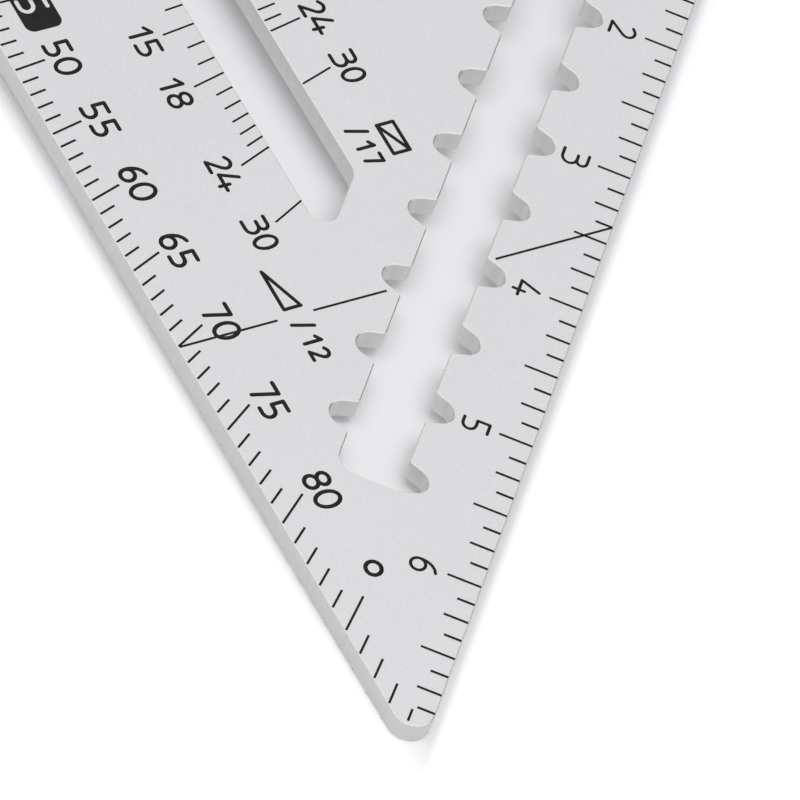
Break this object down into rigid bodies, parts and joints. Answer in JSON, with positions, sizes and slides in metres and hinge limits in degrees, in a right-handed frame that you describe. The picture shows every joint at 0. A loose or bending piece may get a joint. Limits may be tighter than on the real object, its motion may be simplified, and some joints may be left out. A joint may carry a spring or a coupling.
{
  "type": "speed square",
  "caption": "Triangular rafter square: a slotted, notched flat blade riveted between two fence bars, for marking and checking angles.",
  "frame": {"origin": "the pivot point: the corner where the fence's working faces meet the ruler edge, at the middle of the blade's thickness", "axes": "+Z out of the blade's first face, +X along the fence, +Y along the ruler edge towards the tip"},
  "size_m": [0.1873, 0.1873, 0.016],
  "materials": {
    "blade_aluminium": "matt, finely blasted",
    "fence_aluminium": "satin, drawn lengthwise",
    "rivet_aluminium": "satin",
    "marking_ink": "matt black print"
  },
  "bodies": {
    "root": {"blade": "blade_aluminium", "fence_bar_front": "fence_aluminium", "fence_bar_back": "fence_aluminium", "fence_rivets": "rivet_aluminium"}
  },
  "joints": []
}
